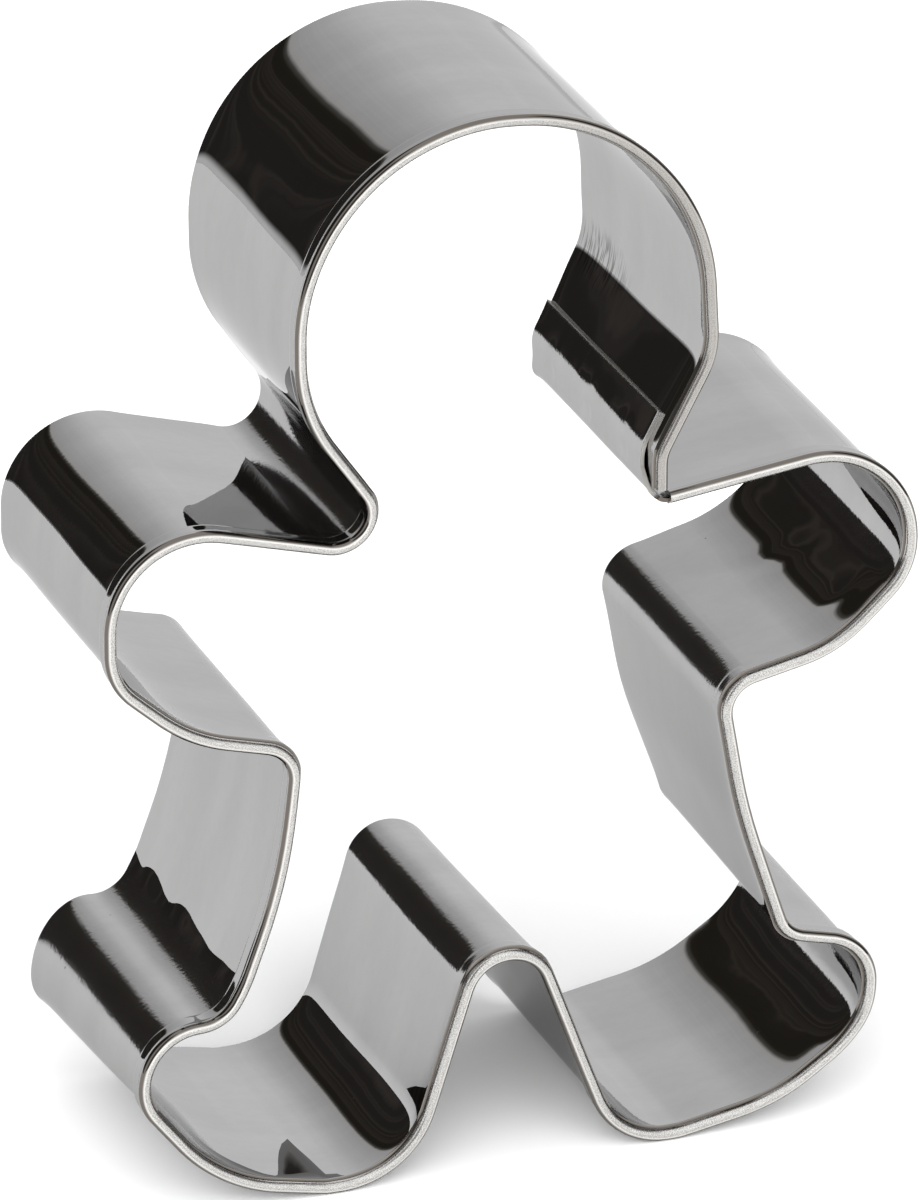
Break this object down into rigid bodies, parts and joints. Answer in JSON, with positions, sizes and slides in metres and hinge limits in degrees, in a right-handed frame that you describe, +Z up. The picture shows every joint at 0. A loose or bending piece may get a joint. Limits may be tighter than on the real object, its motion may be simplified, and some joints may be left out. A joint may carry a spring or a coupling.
{
  "type": "cookie cutter",
  "caption": "Gingerbread figure cookie cutter bent from one strip of polished stainless steel, with a folded rim and a lap at the neck.",
  "frame": {"origin": "Centre of the cutter's box at the surface it stands on: the rim under the soles is at Z = 0", "axes": "+Z up the figure, +X to the viewer's right when the folded rim faces the viewer, +Y from the folded rim to the cutting edge"},
  "size_m": [0.0622, 0.025, 0.0825],
  "materials": {
    "polished_strip": "mirror polished stainless strip",
    "rim_steel": "bright rounded fold, slightly satin",
    "tab_steel": "polished stainless strip with fine scratches",
    "weld_steel": "dull weld nugget"
  },
  "bodies": {
    "root": {"cutting_wall": "polished_strip", "rolled_rim": "rim_steel", "lap_tab": "tab_steel", "spot_welds": "weld_steel"}
  },
  "joints": []
}
